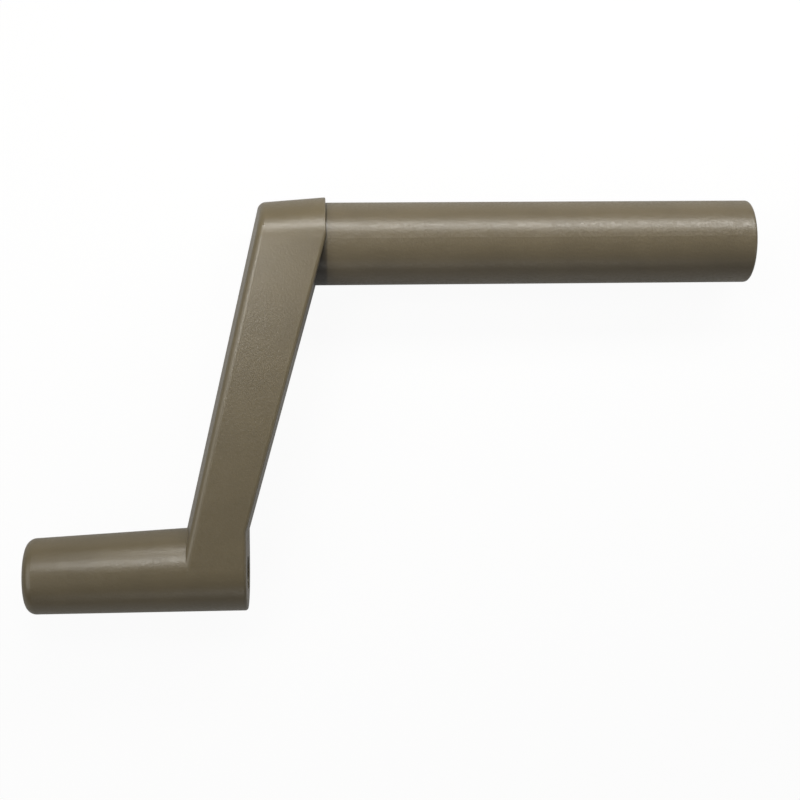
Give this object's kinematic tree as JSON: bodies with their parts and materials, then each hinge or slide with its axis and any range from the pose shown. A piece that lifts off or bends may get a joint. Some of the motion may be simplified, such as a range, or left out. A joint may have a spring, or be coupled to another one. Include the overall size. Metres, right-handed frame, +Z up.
{
  "type": "crank handle",
  "caption": "Offset crank handle: a tapered round hub with a keyed socket, a leaning flat-faced arm with a hooded head, and a long plain grip tube that turns freely.",
  "frame": {"origin": "centre of the drive-shaft socket's mouth, on the hub's flat end face, on the crank's turning axis", "axes": "+X along the crank's turning axis from the socket end towards the arm and grip, +Y from the hub towards the grip, +Z up as the handle lies flat, square to the casting's parting plane"},
  "size_m": [0.0978, 0.0553, 0.012],
  "materials": {
    "casting_paint": "satin taupe enamel with a fine orange-peel on a zinc die casting",
    "grip_paint": "satin taupe enamel on a plain drawn tube",
    "spindle_steel": "turned and zinc-plated steel"
  },
  "bodies": {
    "crank": {"crank_arm": "casting_paint", "grip_spindle": "spindle_steel"},
    "grip": {"grip_sleeve": "grip_paint"}
  },
  "joints": [
    {"name": "grip_spin", "type": "hinge", "parent": "crank", "child": "grip", "pos_m": [0.04, 0.044, 0], "axis": [1, 0, 0], "continuous": true}
  ]
}
